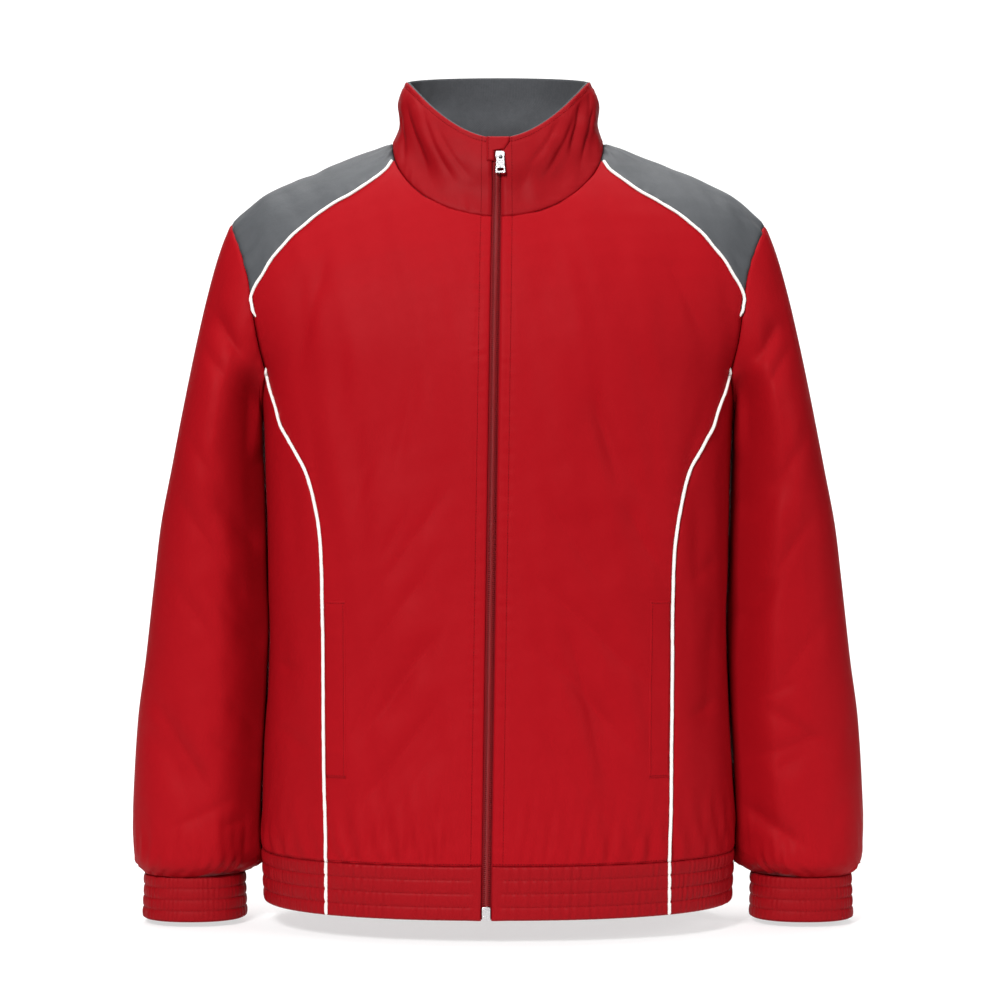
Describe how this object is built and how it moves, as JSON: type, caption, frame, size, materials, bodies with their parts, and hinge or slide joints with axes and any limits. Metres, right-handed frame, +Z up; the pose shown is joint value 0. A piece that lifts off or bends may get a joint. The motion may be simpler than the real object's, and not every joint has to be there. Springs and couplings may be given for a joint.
{
  "type": "track jacket",
  "caption": "Red woven track jacket with a stand-up collar, grey shoulder yokes, white piping, a front zip and gathered elastic hem and cuffs, filled out as worn.",
  "frame": {"origin": "midway between the shoulders, level with the sides of the neck seam, where the wearer's shoulders hold it", "axes": "+Z up, front of the jacket towards -Y, +X to the wearer's left"},
  "size_m": [0.6778, 0.2925, 0.7897],
  "materials": {
    "red_shell": "woven, soft sheen",
    "red_elastic": "woven, gathered on elastic",
    "grey_yoke": "woven, soft sheen",
    "grey_lining": "woven, matte",
    "white_piping": "satin",
    "zip_red": "satin coil chain on woven tape",
    "silver_metal": "satin"
  },
  "bodies": {
    "jacket": {"front_right": "red_shell", "front_left": "red_shell", "side_right": "red_shell", "side_left": "red_shell", "back": "red_shell", "yoke_right": "grey_yoke", "yoke_left": "grey_yoke", "sleeve_right": "red_shell", "sleeve_left": "red_shell", "cuff_right": "red_elastic", "cuff_left": "red_elastic", "hem_front_right": "red_elastic", "hem_front_left": "red_elastic", "hem_back": "red_elastic", "collar": "red_shell", "collar_lining": "grey_lining", "zip_garage": "red_shell", "piping_right": "white_piping", "piping_left": "white_piping", "pocket_welt_right": "red_shell", "pocket_welt_left": "red_shell", "zip_tape": "zip_red", "zip_slider": "silver_metal", "zip_box": "silver_metal"},
    "zip_pull": {"zip_pull": "silver_metal"}
  },
  "joints": [
    {"name": "pull_tab", "type": "hinge", "parent": "jacket", "child": "zip_pull", "pos_m": [0.002, -0.09013, -0.02218], "axis": [-1, 0, 0], "range_deg": [0, 150]}
  ]
}
